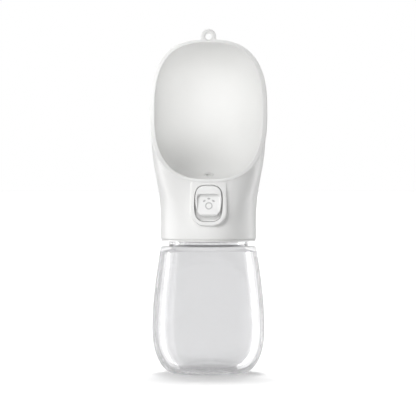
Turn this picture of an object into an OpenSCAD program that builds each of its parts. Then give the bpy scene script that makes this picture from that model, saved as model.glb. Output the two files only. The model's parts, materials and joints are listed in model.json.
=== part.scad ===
// Dog travel water bottle: a clear bottle, and a head with a drinking bowl that screws onto it.
// A push key on the head opens a valve that lets the water into the bowl, and slides down to lock.
// Millimetres. +Z runs up the bottle, the origin is the centre of its base, and the bowl faces -Y.

/* [Bottle] */
// Height from the base to the shoulder
bottle_h = 83.2; // [70:0.2:120]
// Greatest radius of the bottle
bottle_r = 36.7; // [34:0.1:42]
// Height of the widest place
widest_z = 32; // [24:1:44]
// Radius where the side wall meets the shoulder
shoulder_r = 31; // [30:0.1:33]
// Radius of the rounded edge of the shoulder
shoulder_round = 1.4; // [0.8:0.1:2.4]
// Radius of the ring that the bottle stands on
foot_r = 21.5; // [18:0.1:26]
// Height that the middle of the base is pushed up by
push_up = 2.6; // [1:0.1:5]
// Wall thickness of the bottle
bottle_wall = 1.8; // [1.2:0.1:2.6]
// Outer radius of the threaded neck, without its thread
neck_r = 25.7; // [24:0.1:25.9]
// Wall thickness of the neck
neck_wall = 2; // [1.4:0.1:3]
// Height of the neck above the shoulder
neck_h = 12; // [10:0.2:16]

/* [Screw insert] */
// Room round the neck for the thread
thread_room = 1.4; // [1:0.1:1.6]
// Wall thickness of the collar that screws onto the neck
collar_wall = 1.6; // [1.2:0.1:2]
// Depth of the collar below the top plate
collar_h = 10.2; // [8:0.1:11]
// Radius of the flange under the head
flange_r = 30.7; // [29.5:0.1:33]
// Thickness of the flange
flange_t = 1.1; // [0.8:0.1:1.6]
// Thickness of the plate that closes the bottle
plate_t = 2.6; // [2.4:0.1:4]
// Thickness of the neck gasket
gasket_t = 1.8; // [1:0.1:3]
// Radius of the water inlet in the plate
inlet_r = 2.5; // [1.5:0.1:3]
// Distance of the vent valve from the middle of the plate
vent_offset = 15; // [13:0.5:17]

/* [Head] */
// Wall of the neck skirt
skirt_wall = 2.4; // [1.8:0.1:3.2]
// Height from the skirt's lower edge to the bottom of the rim
rim_drop = 37.3; // [36:0.1:44]
// Height of the rim, seen from the front
rim_h = 92.9; // [80:0.1:110]
// Half of the head's greatest width
head_half_w = 38.1; // [36:0.1:42]
// Lean of the rim away from the vertical, in degrees
rim_lean = 12.3; // [6:0.1:16]
// Distance that the rim's lowest point stands in front of the skirt
rim_reach = 2; // [1:0.1:4]
// Thickness of the raised lip round the rim
lip_step = 0.5; // [0.2:0.1:1]
// Width of the rim at its sides
rim_side = 3.3; // [2.4:0.1:5]
// Width of the rim at its top and bottom
rim_end = 2.1; // [1.6:0.1:3]
// Depth of the bowl
bowl_depth = 41; // [30:0.5:42]
// Downward tilt of the bowl, in degrees
bowl_tilt = 9; // [6:0.5:12]
// Thickness of the bowl's floor over the hollow neck
floor_wall = 2.4; // [1.8:0.1:3.2]
// Height of the hollow neck above the valve's middle
hollow_rise = 36; // [28:1:40]

/* [Hanging loop] */
// Width of the loop
loop_w = 10; // [8:0.1:14]
// Height of the loop above the rim
loop_h = 7; // [5.5:0.1:10]
// Thickness of the loop
loop_t = 3; // [2:0.1:5]
// Radius of the hole in the loop
loop_hole_r = 2.1; // [1.2:0.05:2.6]

/* [Key] */
// Width of the key
key_w = 17.1; // [15:0.1:19]
// Height of the key
key_h = 20.7; // [19:0.1:22]
// Radius of the key's corners
key_round = 6.2; // [4:0.1:7]
// Thickness of the key from its back to the plane of the bezel
key_t = 3.3; // [3:0.1:4]
// Distance that the key's thumb ledge stands out of the bezel
ledge_out = 1.2; // [0.4:0.1:2]
// Distance that the key slides down to lock
lock_travel = 2.5; // [1.5:0.1:2.8]
// Distance that the key is pressed in
press_travel = 3; // [2:0.1:3]
// Gap round the key, at its sides
key_gap = 0.5; // [0.3:0.05:0.8]
// Gap above and below the key at the ends of its slide
end_gap = 0.2; // [0.1:0.05:0.4]
// Width of the bezel round the key's window
bezel_border = 2.6; // [2:0.1:3]
// Slope of the bezel's sides, as the width that each gains at its root
bezel_draft = 0.7; // [0.2:0.1:1.2]

/* [Valve] */
// Height of the valve's middle above the plate
valve_rise = 12; // [11.8:0.1:14]
// Outer radius of the valve barrel
barrel_r = 6.5; // [6.2:0.1:7]
// Radius of the rear chamber
chamber_r = 5; // [4.8:0.1:5.2]
// Radius of the bore that guides the piston
piston_bore_r = 3.55; // [3.3:0.05:3.8]
// Radius of the opening in the valve seat
seat_r = 3; // [2.6:0.1:3.2]
// Radius of the plunger's rod
rod_r = 2.5; // [2.2:0.1:2.8]
// Radius of the plunger's thin stem
stem_r = 1.5; // [1.2:0.1:1.8]
// Outer radius of the outlet tube
tube_r = 3.2; // [3:0.1:3.4]
// Radius of the water way in the outlet tube
tube_bore_r = 2.2; // [1.6:0.1:2.4]
// Radius of the nozzle in the bowl's floor
nozzle_r = 3.5; // [3:0.1:4]
// Radius of the water way in the nozzle
nozzle_bore_r = 1.5; // [1:0.1:2]
// Height that the nozzle stands above the floor
nozzle_proud = 0.4; // [0.2:0.1:1]
// Mean radius of the return spring
spring_r = 3.3; // [3:0.1:3.6]
// Wire diameter of the return spring
spring_wire = 0.6; // [0.4:0.05:0.8]
// Turns of the return spring
spring_turns = 6; // [4:1:8]
// Wire diameter of the O-rings
ring_wire = 1.3; // [1:0.05:1.6]

/* [Hidden] */

// Clearances
press_gap = 0.1;      // between moulded pieces that are pressed together
run_gap = 0.05;       // between the piston and its bore, all round
slide_gap = 0.15;     // between the key and the rail that it slides on
touch_gap = 0.02;     // between faces that only rest on each other
shake_gap = 0.3;      // between pieces that must not rub
past = 1;             // how far a cut runs past the face that it opens

// Heights
neck_top = bottle_h + neck_h;
plate_z = neck_top + gasket_t;
plate_top = plate_z + plate_t;
flange_z = plate_z - collar_h;
skirt_z = flange_z + flange_t;
valve_z = plate_top + valve_rise;
rim_z = skirt_z + rim_drop;
top_z = rim_z + rim_h;

// Radii that follow one another out from the neck
collar_r = neck_r + thread_room;
collar_out = collar_r + collar_wall;
bore_r = collar_out + press_gap;
skirt_r = bore_r + skirt_wall;

// Rim plane
rim_y = -skirt_r - rim_reach;
rim_slope = tan(rim_lean);
rim_mid_z = rim_z + rim_h / 2;

// Facets of the free-form surfaces
head_points = 64;
head_loops = 28;
bowl_points = 56;
bowl_loops = 11;
round_fn = 96;
small_fn = 48;

// ---- Shapes that repeat ----

function smooth(t) = let (u = min(1, max(0, t))) u * u * (3 - 2 * u);

function mix(a, b, t) = a + (b - a) * t;

// A point at angle a on a superellipse of unit half axes: n = 2 is a circle, more is squarer
function squircle(a, n) = [sign(cos(a)) * pow(abs(cos(a)), 2 / n), sign(sin(a)) * pow(abs(sin(a)), 2 / n)];

// Closed solid through rings that each have as many points, and wind anticlockwise seen from the last ring
module loft(rings) {
    n = len(rings[0]);
    last = (len(rings) - 1) * n;
    sides = [for (j = [0 : len(rings) - 2], i = [0 : n - 1])
        let (a = j * n + i, b = j * n + (i + 1) % n)
        each [[a, b, b + n], [a, b + n, a + n]]];
    polyhedron(
        points = [for (ring = rings) each ring],
        faces = concat([[for (i = [n - 1 : -1 : 0]) i]], [for (s = sides) [s[2], s[1], s[0]]],
            [[for (i = [0 : n - 1]) last + i]]));
}

// A solid of revolution about a line along +Y through the valve's middle, from [radius, y] points
module along_y(points) {
    translate([0, 0, valve_z]) rotate([-90, 0, 0]) rotate_extrude($fn = round_fn) polygon(points);
}

// A cylinder along Y from y0 to y1 at height z
module rod_y(r, y0, y1, z = valve_z) {
    translate([0, y0, z]) rotate([-90, 0, 0]) cylinder(r = r, h = y1 - y0, $fn = round_fn);
}

// An O-ring about the vertical axis
module o_ring(ring_r, wire) {
    rotate_extrude($fn = round_fn) translate([ring_r, 0]) circle(d = wire, $fn = small_fn);
}

// Outline of a rounded rectangle, centred
module rounded_rect(w, h, r) {
    square([w - 2 * r, h], center = true);
    square([w, h - 2 * r], center = true);
    for (x = [-1, 1], y = [-1, 1])
        translate([x * (w / 2 - r), y * (h / 2 - r)]) circle(r = r, $fn = small_fn);
}

// A rounded rectangle seen from the front, run from y0 back to y1 and centred on height z
module window_block(w, h, r, y0, y1, z) {
    translate([0, y1, z]) rotate([90, 0, 0]) linear_extrude(y1 - y0) rounded_rect(w, h, r);
}

// ---- Bottle ----

wall_curve_up = 1.6;     // power of the side wall's curve above its widest place
foot_curve = 2.5;        // power of the rounding from there down to the foot
inner_foot_curve = 2.8;  // and of its inside, because the wall is thinnest in the corner
wall_steps = 12;
foot_steps = 14;
edge_steps = 6;
floor_t = bottle_wall + 0.4;
push_r = foot_r - 5;     // radius of the pushed-up middle

// Radius of the bottle's side at height z, above its widest place
function side_r(z) = mix(bottle_r, shoulder_r, pow((z - widest_z) / (bottle_h - widest_z), wall_curve_up));

// A quarter circle from angle a0 to a1 about [x, z]
function quarter(x, z, r, a0, a1) = [for (k = [0 : edge_steps])
    let (a = mix(a0, a1, k / edge_steps)) [x + r * cos(a), z + r * sin(a)]];

// Side wall from height z0 to z1, moved inwards by wall
function side_line(z0, z1, wall) = [for (k = [0 : wall_steps])
    let (z = mix(z0, z1, k / wall_steps)) [side_r(z) - wall, z]];

// The same points from the last to the first
function turned_round(points) = [for (k = [len(points) - 1 : -1 : 0]) points[k]];

// Rounding from the foot at height low up to the widest place, moved inwards by wall
function foot_line(low, wall, power) = [for (k = [0 : foot_steps])
    let (a = 90 * (1 - k / foot_steps))
    [foot_r + (bottle_r - wall - foot_r) * cos(a), widest_z - (widest_z - low) * pow(sin(a), 2 / power)]];

module bottle() {
    outside = concat(
        [[0, push_up], [push_r - 3, push_up]],
        [[push_r, 0]],
        foot_line(0, 0, foot_curve),
        side_line(widest_z + 1, bottle_h - shoulder_round - past, 0),
        quarter(side_r(bottle_h - shoulder_round) - shoulder_round, bottle_h - shoulder_round,
            shoulder_round, 0, 90),
        [[neck_r + 0.5, bottle_h], [neck_r, bottle_h + 0.5], [neck_r, neck_top - 0.4], [neck_r - 0.4, neck_top]]);
    inside = concat(
        [[neck_r - neck_wall + 0.4, neck_top], [neck_r - neck_wall, neck_top - 0.4]],
        [[neck_r - neck_wall, bottle_h], [neck_r - neck_wall + 0.6, bottle_h - bottle_wall]],
        turned_round(side_line(widest_z + 1, bottle_h - bottle_wall - 0.8, bottle_wall)),
        turned_round(foot_line(floor_t, bottle_wall, inner_foot_curve)),
        [[push_r, floor_t], [push_r - 3, push_up + floor_t], [0, push_up + floor_t]]);
    color([0.93, 0.95, 0.96, 0.4])
        rotate_extrude($fn = round_fn) polygon(concat(outside, inside));
}

// ---- Screw insert and its seals ----

groove_w = ring_wire + 0.2;
groove_floor = bore_r - ring_wire;
vent_hole_r = 0.7;
vent_holes = 4;
vent_ring_r = 2.4;       // circle of the vent holes
vent_stem_r = 1.2;
vent_cap_r = 3.8;
ear_y = 3;               // the inlet and both valve screws lie on this line
ear_x = 10;
boss_h = 4;
boss_r = 2.8;
screw_r = 1;

module neck_gasket() {
    color("whitesmoke") translate([0, 0, neck_top + touch_gap / 2])
        difference() {
            cylinder(r = collar_r - shake_gap, h = gasket_t - touch_gap, $fn = round_fn);
            translate([0, 0, -past])
                cylinder(r = neck_r - neck_wall - 0.8, h = gasket_t + 2 * past, $fn = round_fn);
        }
}

module screw_insert() {
    plate_mid = plate_z + plate_t / 2;
    color("white") difference() {
        union() {
            rotate_extrude($fn = round_fn) polygon([
                [0, plate_z], [collar_r, plate_z], [collar_r, flange_z], [flange_r, flange_z],
                [flange_r, skirt_z - touch_gap], [collar_out, skirt_z - touch_gap],
                [collar_out, plate_mid - groove_w / 2], [groove_floor, plate_mid - groove_w / 2],
                [groove_floor, plate_mid + groove_w / 2], [collar_out, plate_mid + groove_w / 2],
                [collar_out, plate_top], [0, plate_top]]);
            for (x = [-1, 1]) translate([x * ear_x, ear_y, plate_top - 0.5])
                cylinder(r = boss_r, h = boss_h + 0.5, $fn = small_fn);
        }
        translate([0, ear_y, plate_z - past]) cylinder(r = inlet_r, h = plate_t + 2 * past, $fn = small_fn);
        for (x = [-1, 1]) translate([x * ear_x, ear_y, plate_top])
            cylinder(r = screw_r + run_gap, h = boss_h + past, $fn = small_fn);
        translate([0, vent_offset, plate_z - past]) {
            cylinder(r = vent_stem_r + run_gap, h = plate_t + 2 * past, $fn = small_fn);
            for (a = [45 : 360 / vent_holes : 360]) rotate(a) translate([vent_ring_r, 0])
                cylinder(r = vent_hole_r, h = plate_t + 2 * past, $fn = small_fn);
        }
    }
}

module insert_o_ring() {
    color("dimgray") translate([0, 0, plate_z + plate_t / 2])
        o_ring(bore_r - ring_wire / 2, ring_wire - 2 * touch_gap);
}

// Umbrella valve: its cap lies under the plate and lets air in as the water leaves
module vent_valve() {
    color("whitesmoke") translate([0, vent_offset, 0]) rotate_extrude($fn = small_fn) polygon([
        [0, plate_z - 1.6], [vent_cap_r - 1.2, plate_z - 1.3], [vent_cap_r, plate_z - 0.6],
        [vent_cap_r, plate_z - touch_gap], [vent_stem_r, plate_z - touch_gap],
        [vent_stem_r, plate_top + touch_gap], [vent_stem_r + 0.5, plate_top + 0.5],
        [vent_stem_r - 0.3, plate_top + 2.2], [0, plate_top + 2.4]]);
}

// ---- Head shell: neck skirt, bowl, bezel and hanging loop in one moulding ----

back_start = 24;         // height above the skirt's edge where the back begins to lean over
back_power = 2.4;
front_start = 20;        // height above the skirt's edge where the front begins to reach forward
round_end = 2.65;        // squareness of the rim's outline
flare_start = 12;        // height above the skirt's edge where the sides begin to widen
lip_w = 3.2;             // width of the raised lip, measured back from the rim
lip_loops = 3;

function rim_plane_y(z) = rim_y + (z - rim_z) * rim_slope;

// The outer surface is lofted through flat loops that turn from the level skirt to the leaning rim.
// Each loop, t = 0 at the skirt and 1 at the rim, runs between a front point and a back point [y, z].
function front_point(t) = let (z = skirt_z + rim_drop * pow(t, 0.9))
    [-skirt_r - rim_reach * smooth((z - skirt_z - front_start) / (rim_drop - front_start)), z];

back_share = 0.2;        // share of the loops that the straight part of the back takes
function back_point(t) = t < back_share
    ? [skirt_r, skirt_z + back_start * t / back_share]
    : let (a = 90 * (t - back_share) / (1 - back_share), top_y = rim_plane_y(top_z))
        [mix(top_y, skirt_r, pow(cos(a), 2 / back_power)),
         mix(skirt_z + back_start, top_z, pow(sin(a), 2 / back_power))];

function half_width(z) = mix(skirt_r, head_half_w,
    smooth((z - skirt_z - flare_start) / (rim_mid_z - skirt_z - flare_start)));

// out moves the loop's line outwards, and fwd moves it along -Y
function head_loop(t, out, fwd) = let (
        f = front_point(t), b = back_point(t), m = (f + b) / 2, h = (b - f) / 2, len_h = norm(h),
        w = half_width(m[1]) + out - lip_step, n = 2 + (round_end - 2) * smooth((t - 0.15) / 0.7))
    [for (i = [0 : head_points - 1]) let (p = squircle(360 * i / head_points, n),
        s = p[1] * (len_h + out - lip_step) / len_h)
        [w * p[0], m[0] + h[0] * s - fwd, m[1] + h[1] * s]];

module outer_form() {
    // The loft stops a lip's width short of the rim, and the lip stands on it with rounded edges
    lip_t = 0.955;
    edge = 0.8;
    loft(concat(
        [for (k = [0 : head_loops]) let (t = lip_t * k / head_loops)
            head_loop(t, lip_step * (1 - smooth((t - 0.5) / 0.3)), 0)],
        [for (t = [lip_t + 0.008, 1]) head_loop(t, lip_step, 0)],
        [head_loop(1, lip_step - edge * 0.3, edge * 0.7), head_loop(1, lip_step - edge, edge)]));
}

// Bowl: rings that shrink as they go back from the rim plane. grow moves its wall outwards.
bowl_half_w = head_half_w - rim_side;
bowl_half_h = rim_h / 2 - rim_end;
bowl_power = 2.4;        // squareness of the bowl from front to back
function bowl_ring(a, grow, points, extra = 0) = let (
        share = pow(cos(a), 2 / bowl_power), depth = (bowl_depth + grow) * sin(a))
    [for (i = [0 : points - 1]) let (p = squircle(360 * i / points, round_end),
        z = rim_mid_z + (bowl_half_h + grow + extra) * share * p[1])
        [(bowl_half_w + grow + extra) * share * p[0],
         rim_plane_y(z) + depth * cos(bowl_tilt), z - depth * sin(bowl_tilt)]];

module bowl_space(grow, points, loops, edge) {
    // A ring well in front, the rim's rounded edge, then the bowl itself down to its middle
    front = [for (p = bowl_ring(0, grow, points, edge)) [p[0], p[1] - 30, p[2]]];
    mouth = [for (p = bowl_ring(0, grow, points, edge)) [p[0], p[1] - 0.9, p[2]]];
    lofted = concat([front, mouth], [for (k = [0 : loops - 1])
        bowl_ring(2 + 86 * k / (loops - 1), grow, points)]);
    loft([for (k = [len(lofted) - 1 : -1 : 0]) lofted[k]]);
}

// Height of the bowl's floor in its middle plane at distance y, found by halving
function floor_z(y, grow, lo = 0, hi = 80, step = 0) = let (a = (lo + hi) / 2,
        share = pow(cos(a), 2 / bowl_power), depth = (bowl_depth + grow) * sin(a),
        z = rim_mid_z - (bowl_half_h + grow) * share, at = rim_plane_y(z) + depth * cos(bowl_tilt))
    step == 24 ? z - depth * sin(bowl_tilt)
    : at < y ? floor_z(y, grow, a, hi, step + 1) : floor_z(y, grow, lo, a, step + 1);

// Window and bezel of the key
window_w = key_w + 2 * key_gap;
window_h = key_h + lock_travel + 2 * end_gap;
window_round = key_round + key_gap;
bezel_w = window_w + 2 * bezel_border;
bezel_h = window_h + 2 * bezel_border;
bezel_back = -bore_r * cos(asin(bezel_w / 2 / bore_r)) - 1;

module bezel() {
    // The bezel runs up into the rim, and its sides slope out to their root
    depth = bezel_back - rim_y;
    rise = 6;
    translate([0, bezel_back, valve_z + rise / 2]) rotate([90, 0, 0])
        linear_extrude(depth, scale = [bezel_w / (bezel_w + 2 * bezel_draft),
            (bezel_h + rise) / (bezel_h + rise + 2 * bezel_draft)])
        offset(bezel_draft) rounded_rect(bezel_w, bezel_h + rise, window_round + bezel_border);
}

// Hanging loop behind the top of the rim
loop_y = rim_plane_y(top_z) + 4.2;
loop_hole_z = top_z + loop_h - loop_w / 2;
module hanging_loop() {
    translate([0, loop_y + loop_t / 2, 0]) rotate([90, 0, 0]) linear_extrude(loop_t) {
        translate([0, loop_hole_z]) circle(r = loop_w / 2, $fn = small_fn);
        translate([-loop_w / 2, top_z - 1.6]) square([loop_w, loop_hole_z - top_z + 1.6]);
    }
}

// Outlet: nozzle seat under the floor
outlet_y = -9;
nozzle_seat_r = nozzle_r + 0.8;
nozzle_top = floor_z(outlet_y, 0);
nozzle_step = floor_z(outlet_y - nozzle_seat_r, 0) - floor_wall;
nozzle_seat_wall = 1.6;
nozzle_seat_h = 4;

module head_shell() {
    color("white") difference() {
        union() {
            difference() {
                union() {
                    outer_form();
                    bezel();
                    hanging_loop();
                }
                // Hollow neck, closed above by the bowl's floor
                difference() {
                    union() {
                        translate([0, 0, skirt_z - past])
                            cylinder(r = bore_r, h = plate_top - skirt_z + 2 * past, $fn = round_fn);
                        translate([0, 0, plate_top])
                            cylinder(r1 = bore_r - 0.05, r2 = bore_r - 1.2,
                                h = valve_z + hollow_rise - plate_top, $fn = round_fn);
                    }
                    bowl_space(floor_wall, 32, 8, 0);
                }
            }
            translate([0, outlet_y, nozzle_step - nozzle_seat_h])
                cylinder(r = nozzle_seat_r + nozzle_seat_wall, h = nozzle_seat_h + 3, $fn = small_fn);
        }
        bowl_space(0, bowl_points, bowl_loops, 0.7);
        window_block(window_w, window_h, window_round, rim_y - 5, bezel_back + 4, valve_z);
        translate([0, outlet_y, nozzle_step - nozzle_seat_h - past])
            cylinder(r = nozzle_seat_r, h = nozzle_seat_h + past, $fn = small_fn);
        translate([0, outlet_y, nozzle_step - past])
            cylinder(r = nozzle_r, h = 12, $fn = small_fn);
        rod_y(loop_hole_r, loop_y - loop_t, loop_y + loop_t, loop_hole_z);
    }
}

// ---- Valve: stations along Y, from the key to the back ----

key_back = rim_y + key_t;
carrier_gap = 0.3;
carrier_y = key_back + carrier_gap;   // front face of the carrier
carrier_t = 4.4;
carrier_stop_t = 1.2;                 // flange at the carrier's back that stops inside the window
socket_h = 2.2;                       // how far the carrier's socket for the rod stands out
barrel_front = carrier_y + carrier_t + socket_h + press_travel + 1;
piston_front = barrel_front + 0.2;
piston_l = 4.4;
seat_wall = 1.8;
seat_y = outlet_y + tube_bore_r + 2.2;
seal_t = 1.6;
washer_t = 0.5;
spring_y = seat_y + seal_t + washer_t;
spring_l = 10.4;
cap_y = spring_y + spring_l;
cap_l = 5.4;
cap_flange_t = 1.6;
barrel_back = cap_y + cap_l - cap_flange_t;
tube_top = nozzle_step - 1.4;
foot_r2 = inlet_r + 2.4;
ear_t = 2;
seal_ring_t = 1.4;

module valve_body() {
    ear_z = plate_top + boss_h + touch_gap;
    chamber = [[0, seat_y], [chamber_r, seat_y], [chamber_r, barrel_back + past], [0, barrel_back + past]];
    color("gainsboro") difference() {
        union() {
            rod_y(barrel_r, barrel_front, barrel_back);
            translate([0, outlet_y, valve_z]) cylinder(r = tube_r, h = tube_top - valve_z, $fn = small_fn);
            translate([0, ear_y, plate_top + touch_gap])
                cylinder(r = foot_r2, h = valve_z - plate_top, $fn = small_fn);
            // Ears that take the two screws
            translate([0, 0, ear_z]) linear_extrude(ear_t) {
                translate([-ear_x, ear_y - boss_r]) square([2 * ear_x, 2 * boss_r]);
                for (x = [-1, 1]) translate([x * ear_x, ear_y]) circle(r = boss_r, $fn = small_fn);
            }
            // Thin webs carry the barrel on the ears
            for (x = [-1, 1]) translate([x * (barrel_r - 1.5) - 0.8, ear_y - boss_r, ear_z])
                cube([1.6, 2 * boss_r, valve_z - ear_z]);
        }
        rod_y(piston_bore_r, barrel_front - past, seat_y - seat_wall);
        rod_y(seat_r, seat_y - seat_wall - past, seat_y + past);
        along_y(chamber);
        translate([0, outlet_y, valve_z]) cylinder(r = tube_bore_r, h = tube_top - valve_z + past, $fn = small_fn);
        translate([0, ear_y, plate_top - past]) cylinder(r = inlet_r, h = valve_z - plate_top, $fn = small_fn);
        translate([0, ear_y, plate_top - past])
            cylinder(r = inlet_r + 1.5, h = seal_ring_t + past + touch_gap, $fn = small_fn);
        for (x = [-1, 1]) translate([x * ear_x, ear_y, ear_z - past])
            cylinder(r = screw_r + 0.2, h = ear_t + 2 * past, $fn = small_fn);
    }
}

screw_head_r = 2;
screw_head_t = 1.3;
module valve_screws() {
    ear_top = plate_top + boss_h + ear_t + 2 * touch_gap;
    color("silver") for (x = [-1, 1]) translate([x * ear_x, ear_y, 0]) {
        translate([0, 0, plate_top + 0.4]) cylinder(r = screw_r, h = ear_top - plate_top, $fn = small_fn);
        difference() {
            translate([0, 0, ear_top]) cylinder(r = screw_head_r, h = screw_head_t, $fn = small_fn);
            for (a = [0, 90]) translate([0, 0, ear_top + screw_head_t]) rotate(a)
                cube([2.4, 0.5, 1.4], center = true);
        }
    }
}

module inlet_seal() {
    color("whitesmoke") translate([0, ear_y, plate_top + touch_gap]) difference() {
        cylinder(r = inlet_r + 1.45, h = seal_ring_t - touch_gap, $fn = small_fn);
        translate([0, 0, -past]) cylinder(r = inlet_r, h = seal_ring_t + 2 * past, $fn = small_fn);
    }
}

// Soft nozzle between the outlet tube and the bowl, cut off along the slope of the floor
module outlet_nozzle() {
    reach = 2;
    slope = atan((floor_z(outlet_y + reach, 0) - floor_z(outlet_y - reach, 0)) / (2 * reach));
    tall = nozzle_top - nozzle_step + 6;
    color("whitesmoke") difference() {
        union() {
            translate([0, outlet_y, nozzle_step - nozzle_seat_h + 0.4])
                cylinder(r = nozzle_seat_r - run_gap, h = nozzle_seat_h - 0.4 - touch_gap, $fn = small_fn);
            translate([0, outlet_y, nozzle_step - 1]) cylinder(r = nozzle_r - run_gap, h = tall, $fn = small_fn);
        }
        translate([0, outlet_y, nozzle_step - nozzle_seat_h])
            cylinder(r = nozzle_bore_r, h = 2 * tall, $fn = small_fn);
        translate([0, outlet_y, nozzle_step - nozzle_seat_h - past])
            cylinder(r = tube_r + run_gap, h = tube_top - nozzle_step + nozzle_seat_h + past + touch_gap,
                $fn = small_fn);
        translate([0, outlet_y, nozzle_top + nozzle_proud]) rotate([slope, 0, 0])
            translate([-10, -10, 0]) cube([20, 20, 20]);
    }
}

module valve_cap() {
    groove = cap_y + 1.9;
    plug_r = chamber_r - run_gap;
    spigot_r = spring_r - spring_wire / 2 - 0.2;   // centres the spring
    spigot_l = 1.5;
    color("gainsboro") along_y([
        [0, cap_y - spigot_l], [spigot_r, cap_y - spigot_l], [spigot_r, cap_y],
        [plug_r, cap_y], [plug_r, groove - 0.75], [chamber_r - ring_wire, groove - 0.75],
        [chamber_r - ring_wire, groove + 0.75], [plug_r, groove + 0.75],
        [plug_r, barrel_back + touch_gap], [barrel_r, barrel_back + touch_gap],
        [barrel_r, cap_y + cap_l], [0, cap_y + cap_l]]);
}

module cap_o_ring() {
    color("dimgray") translate([0, cap_y + 1.9, valve_z]) rotate([-90, 0, 0])
        o_ring(chamber_r - ring_wire / 2, ring_wire - 2 * touch_gap);
}

// Compression spring: a wire of eight sides along a helix, flat at both ends
module return_spring() {
    sides = 8;
    per_turn = 14;
    steps = spring_turns * per_turn;
    free = spring_l - spring_wire - 2 * touch_gap;
    rings = [for (k = [0 : steps]) let (a = 360 * k / per_turn, y = free * smooth_ends(k / steps))
        [for (i = [0 : sides - 1]) let (b = 360 * i / sides, r = spring_r + spring_wire / 2 * cos(b))
            [r * cos(a), y + spring_wire / 2 * sin(b), r * sin(a)]]];
    color("silver") translate([0, spring_y + spring_wire / 2 + touch_gap, valve_z]) loft(rings);
}

// Even climb with a slow first and last turn, so that the spring's ends are flat
function smooth_ends(t) = let (e = 0.6 / spring_turns) mix(t, smooth(t), e);

module plunger() {
    groove = piston_front + piston_l / 2;
    push_y = seat_y - touch_gap;
    rod_front = carrier_y + carrier_t - 1 + touch_gap;
    color("whitesmoke") difference() {
        along_y([
            [0, rod_front], [rod_r, rod_front],
            [rod_r, piston_front], [piston_bore_r - run_gap, piston_front],
            [piston_bore_r - run_gap, groove - 0.75], [piston_bore_r - ring_wire, groove - 0.75],
            [piston_bore_r - ring_wire, groove + 0.75], [piston_bore_r - run_gap, groove + 0.75],
            [piston_bore_r - run_gap, piston_front + piston_l], [stem_r, piston_front + piston_l],
            [stem_r, push_y - 1.2], [seat_r - 0.6, push_y - 1.2], [seat_r - 0.6, push_y], [stem_r, push_y],
            [stem_r, spring_y + 4], [stem_r - 0.4, spring_y + 4.4], [0, spring_y + 4.4]]);
        rod_y(screw_r, carrier_y, carrier_y + carrier_t + 5.5);
    }
}

module plunger_o_ring() {
    color("dimgray") translate([0, piston_front + piston_l / 2, valve_z]) rotate([-90, 0, 0])
        o_ring(piston_bore_r - ring_wire / 2 - touch_gap, ring_wire - 3 * touch_gap);
}

seal_r = seat_r + 1.2;
module poppet_seal() {
    color("dimgray") difference() {
        rod_y(seal_r, seat_y, seat_y + seal_t - touch_gap);
        rod_y(stem_r + touch_gap, seat_y - past, seat_y + seal_t + past);
    }
}

module spring_washer() {
    color("silver") difference() {
        rod_y(seal_r, seat_y + seal_t, spring_y);
        rod_y(stem_r + run_gap, seat_y + seal_t - past, spring_y + past);
    }
}

// ---- Key, and the carrier that it slides on ----

rail_neck_w = 3.6;
rail_w = 6.4;
rail_l = 13;
rail_neck_t = 0.9;      // from the carrier's face to the rail's head
rail_head_t = 1;
rail_screw_depth = 2.2; // how deep the screw's head sits below the carrier's face
carrier_w = window_w - 2 * shake_gap;
carrier_h = window_h - 2 * shake_gap;
key_z = valve_z + lock_travel / 2;   // middle of the key, up against the top of its window

module key_carrier() {
    carrier_back = carrier_y + carrier_t;
    color("gainsboro") difference() {
        union() {
            window_block(carrier_w, carrier_h, window_round - shake_gap, carrier_y, carrier_back, valve_z);
            // Flange that stops against the inside of the window's two sides
            window_block(window_w + 2, carrier_h - 3, 3, carrier_back - carrier_stop_t, carrier_back, valve_z);
            rod_y(rod_r + 1.4, carrier_back - 0.5, carrier_back + socket_h);
            // Rail of T section that holds the key
            translate([-rail_neck_w / 2, carrier_y - rail_neck_t - 0.2, valve_z - rail_l / 2])
                cube([rail_neck_w, rail_neck_t + 0.7, rail_l]);
            translate([-rail_w / 2, carrier_y - rail_neck_t - rail_head_t, valve_z - rail_l / 2])
                cube([rail_w, rail_head_t, rail_l]);
        }
        rod_y(rod_r + run_gap, carrier_back - 1, carrier_back + socket_h + past);
        rod_y(screw_r + 0.1, carrier_y - 5, carrier_back);
        rod_y(screw_head_r + 0.1, carrier_y - 5, carrier_y + rail_screw_depth);
    }
}

module carrier_screw() {
    seat = carrier_y + rail_screw_depth - touch_gap;
    color("silver") difference() {
        union() {
            rod_y(screw_head_r, seat - screw_head_t, seat);
            rod_y(screw_r - run_gap, seat - 0.5, carrier_y + carrier_t + 5);
        }
        for (a = [0, 90]) translate([0, seat - screw_head_t, valve_z]) rotate([0, a, 0])
            cube([2.4, 1.2, 0.5], center = true);
    }
}

ledge_h = 5.6;           // height of the thumb ledge at the top of the key
scoop_in = 0.6;          // how far the face is scooped in below the ledge
bevel_h = 2;             // height of the bevel at the key's lower end
bevel_in = 2.2;
scoop_steps = 10;

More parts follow.
